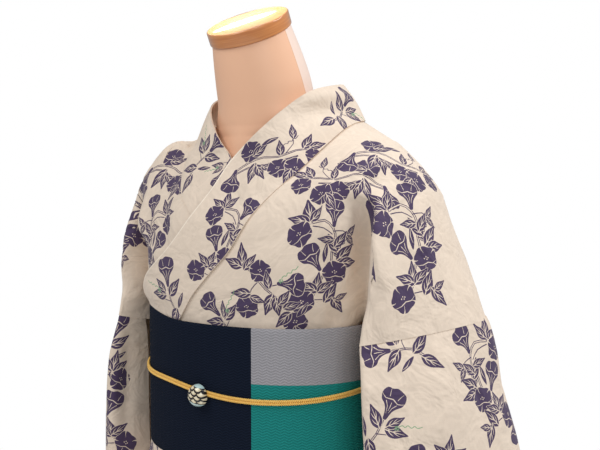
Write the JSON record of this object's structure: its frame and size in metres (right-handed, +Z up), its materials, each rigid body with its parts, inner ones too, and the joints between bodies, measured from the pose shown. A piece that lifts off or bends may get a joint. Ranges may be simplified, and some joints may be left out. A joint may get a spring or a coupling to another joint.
{
  "type": "cotton yukata robe on a dress form",
  "caption": "Cotton yukata robe, worn left over right on a limbless dress form with a stand, with a wide belt, a braided cord and a scale-patterned bead",
  "frame": {"origin": "centre of the flat underside of the base plate, where it stands on the floor", "axes": "+Z up, the front of the robe faces -Y, the wearer's left is +X"},
  "size_m": [0.586, 0.34, 1.4623],
  "materials": {
    "cotton": "matt printed cotton",
    "belt": "matt ribbed weave",
    "cord": "braided, a little sheen",
    "bead": "glazed ceramic",
    "form": "satin cover",
    "wood": "varnished",
    "stand": "satin"
  },
  "bodies": {
    "root": {"bodice_left": "cotton", "bodice_right": "cotton", "collar_left": "cotton", "collar_right": "cotton", "form_cap": "wood", "form_torso": "form", "obi_back_band": "belt", "obi_back_panel": "belt", "obi_bead": "bead", "obi_cord": "cord", "obi_wrap": "belt", "skirt_back_left": "cotton", "skirt_back_right": "cotton", "skirt_front_left": "cotton", "skirt_front_right": "cotton", "skirt_overlap_left": "cotton", "skirt_overlap_right": "cotton", "sleeve_left": "cotton", "sleeve_right": "cotton", "stand_base": "stand", "stand_pole": "stand", "tuck_fold": "cotton"}
  },
  "joints": []
}
